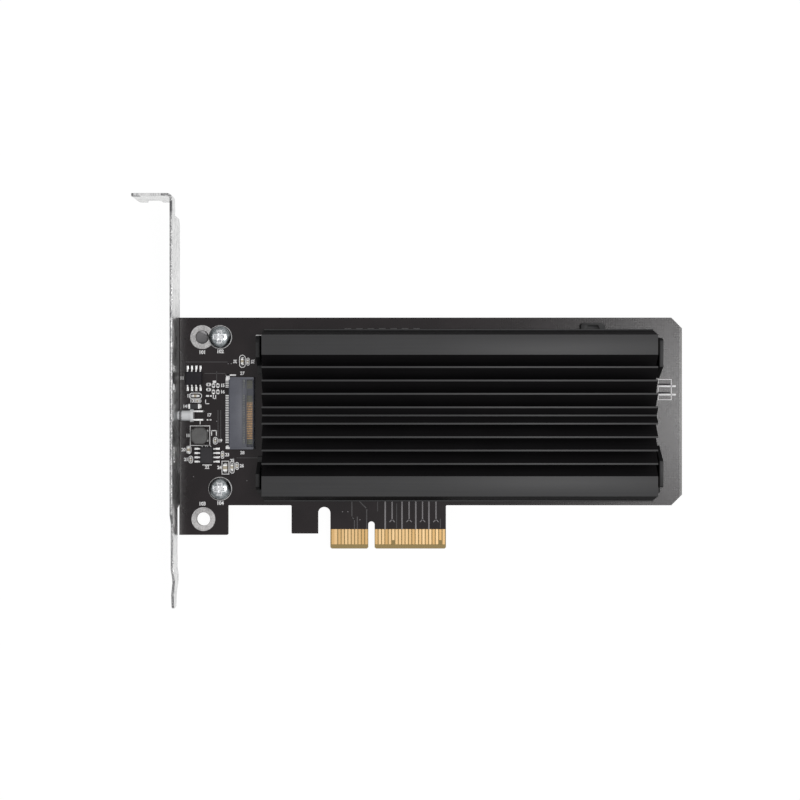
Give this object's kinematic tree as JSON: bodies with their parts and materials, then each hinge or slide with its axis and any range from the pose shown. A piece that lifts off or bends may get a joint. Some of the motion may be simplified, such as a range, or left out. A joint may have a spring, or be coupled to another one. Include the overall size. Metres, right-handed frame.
{
  "type": "drive adapter card",
  "caption": "Full-height expansion card that carries an M.2 solid-state drive under a finned heat sink, with a folded slot bracket and an edge connector.",
  "frame": {"origin": "on the centre line of the edge connector's key notch, at the bottom edge of the contacts, half-way through the board", "axes": "+X from the slot bracket to the far end of the card, +Y from the edge connector to the top edge of the board, +Z from the solder side to the component side"},
  "size_m": [0.1615, 0.1205, 0.0196],
  "materials": {
    "bracket_screws": "zinc plated",
    "capacitor_1": "tinned ends",
    "capacitor_10": "tinned ends",
    "capacitor_11": "tinned ends",
    "capacitor_2": "tinned ends",
    "capacitor_3": "tinned ends",
    "capacitor_4": "tinned ends",
    "capacitor_5": "tinned ends",
    "capacitor_6": "tinned ends",
    "capacitor_7": "tinned ends",
    "capacitor_8": "tinned ends",
    "capacitor_9": "tinned ends",
    "circuit_board": "gloss solder mask",
    "clock_chip_case": "moulded",
    "clock_chip_legs": "tinned",
    "diode": "moulded, tinned ends",
    "drive_standoff": "turned",
    "edge_contacts_back": "gold plated",
    "edge_contacts_front": "gold plated",
    "heat_sink": "black anodised",
    "heat_sink_screws": "zinc plated",
    "inductor_core": "pressed powder, matt",
    "inductor_terminals": "tinned",
    "lead_joints": "solder",
    "light_leads": "tinned",
    "light_lens": "clear moulded",
    "lower_rail": "fine satin",
    "mounting_rings": "tinned",
    "power_chip_case": "moulded",
    "power_chip_legs": "tinned",
    "resistor_1": "tinned ends",
    "resistor_2": "tinned ends",
    "resistor_3": "tinned ends",
    "resistor_4": "tinned ends",
    "resistor_5": "tinned ends",
    "resistor_6": "tinned ends",
    "resistor_7": "tinned ends",
    "slot_bracket": "zinc plated, satin",
    "socket_hold_downs": "tinned",
    "socket_housing": "moulded satin",
    "socket_lower_contacts": "plated",
    "socket_tails": "tinned",
    "socket_upper_contacts": "plated",
    "thermal_pad": "matt",
    "upper_rail": "fine satin"
  },
  "bodies": {
    "root": {"bracket_screws": "bracket_screws", "capacitor_1": "capacitor_1", "capacitor_10": "capacitor_10", "capacitor_11": "capacitor_11", "capacitor_2": "capacitor_2", "capacitor_3": "capacitor_3", "capacitor_4": "capacitor_4", "capacitor_5": "capacitor_5", "capacitor_6": "capacitor_6", "capacitor_7": "capacitor_7", "capacitor_8": "capacitor_8", "capacitor_9": "capacitor_9", "circuit_board": "circuit_board", "clock_chip_case": "clock_chip_case", "clock_chip_legs": "clock_chip_legs", "diode": "diode", "drive_standoff": "drive_standoff", "edge_contacts_back": "edge_contacts_back", "edge_contacts_front": "edge_contacts_front", "heat_sink": "heat_sink", "heat_sink_screws": "heat_sink_screws", "inductor_core": "inductor_core", "inductor_terminals": "inductor_terminals", "lead_joints": "lead_joints", "light_leads": "light_leads", "light_lens": "light_lens", "lower_rail": "lower_rail", "mounting_rings": "mounting_rings", "power_chip_case": "power_chip_case", "power_chip_legs": "power_chip_legs", "resistor_1": "resistor_1", "resistor_2": "resistor_2", "resistor_3": "resistor_3", "resistor_4": "resistor_4", "resistor_5": "resistor_5", "resistor_6": "resistor_6", "resistor_7": "resistor_7", "slot_bracket": "slot_bracket", "socket_hold_downs": "socket_hold_downs", "socket_housing": "socket_housing", "socket_lower_contacts": "socket_lower_contacts", "socket_tails": "socket_tails", "socket_upper_contacts": "socket_upper_contacts", "thermal_pad": "thermal_pad", "upper_rail": "upper_rail"}
  },
  "joints": []
}
